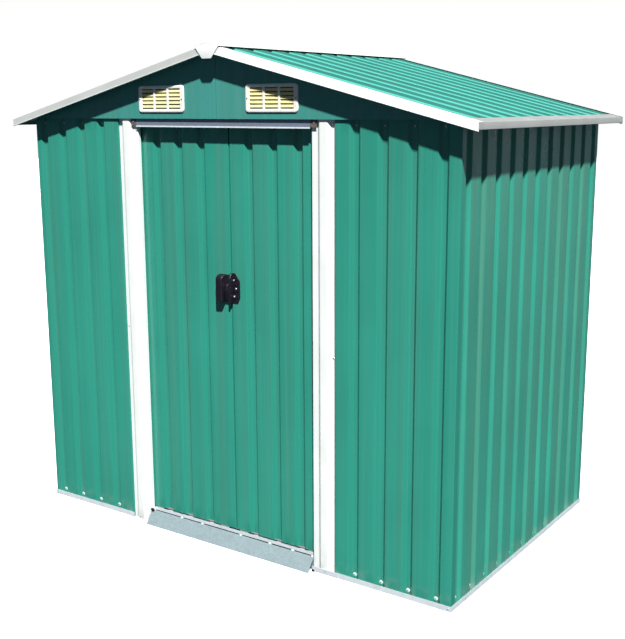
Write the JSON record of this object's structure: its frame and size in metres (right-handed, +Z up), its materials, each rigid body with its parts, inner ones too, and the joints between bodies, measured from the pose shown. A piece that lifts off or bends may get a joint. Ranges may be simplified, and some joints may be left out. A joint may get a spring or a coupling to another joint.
{
  "type": "metal storage shed",
  "caption": "Small garden storage shed of ribbed steel sheet on a light steel frame, with a low gable roof, louvre vents and two sliding door leaves.",
  "frame": {"origin": "on the ground under the middle of the shed, at the bottom centre of its box", "axes": "+X to the right along the front as one faces the doors, +Y from the front to the back, +Z up"},
  "size_m": [2.0438, 1.2652, 1.8391],
  "materials": {
    "green_sheet": "satin green coil coating on ribbed steel sheet",
    "white_trim": "satin white coil coating",
    "galvanised": "galvanised, spangled",
    "vent_plastic": "moulded, weathered cream and white",
    "nylon": "plain nylon",
    "black_plastic": "satin black moulding"
  },
  "bodies": {
    "shed": {"floor_rail_front_left": "galvanised", "floor_rail_front_right": "galvanised", "floor_rail_left": "galvanised", "floor_rail_right": "galvanised", "floor_rail_back": "galvanised", "door_ramp": "galvanised", "door_guide": "galvanised", "wall_front_left": "green_sheet", "wall_front_right": "green_sheet", "wall_left": "green_sheet", "wall_right": "green_sheet", "wall_back": "green_sheet", "corner_posts": "galvanised", "top_rails": "galvanised", "mid_rails": "galvanised", "gable_front_left": "green_sheet", "gable_front_right": "green_sheet", "gable_back_left": "green_sheet", "gable_back_right": "green_sheet", "vent_front_left": "vent_plastic", "vent_front_right": "vent_plastic", "vent_back_left": "vent_plastic", "vent_back_right": "vent_plastic", "roof_beams": "galvanised", "roof_panel_left": "green_sheet", "roof_panel_right": "green_sheet", "eave_trim_left": "white_trim", "eave_trim_right": "white_trim", "rake_trim_front_left": "white_trim", "rake_trim_front_right": "white_trim", "rake_trim_back_left": "white_trim", "rake_trim_back_right": "white_trim", "ridge_cap": "white_trim", "door_jamb_left": "white_trim", "door_jamb_right": "white_trim", "door_header": "galvanised", "door_track": "galvanised"},
    "left_door": {"door_leaf_left": "green_sheet", "leaf_braces_left": "galvanised", "leaf_runners_left": "nylon", "door_handle_left": "black_plastic"},
    "right_door": {"door_leaf_right": "green_sheet", "leaf_braces_right": "galvanised", "leaf_runners_right": "nylon", "door_handle_right": "black_plastic"}
  },
  "joints": [
    {"name": "left_door_slide", "type": "slide", "parent": "shed", "child": "left_door", "axis": [-1, 0, 0], "range_m": [0, 0.35]},
    {"name": "right_door_slide", "type": "slide", "parent": "shed", "child": "right_door", "axis": [1, 0, 0], "range_m": [0, 0.32]}
  ]
}
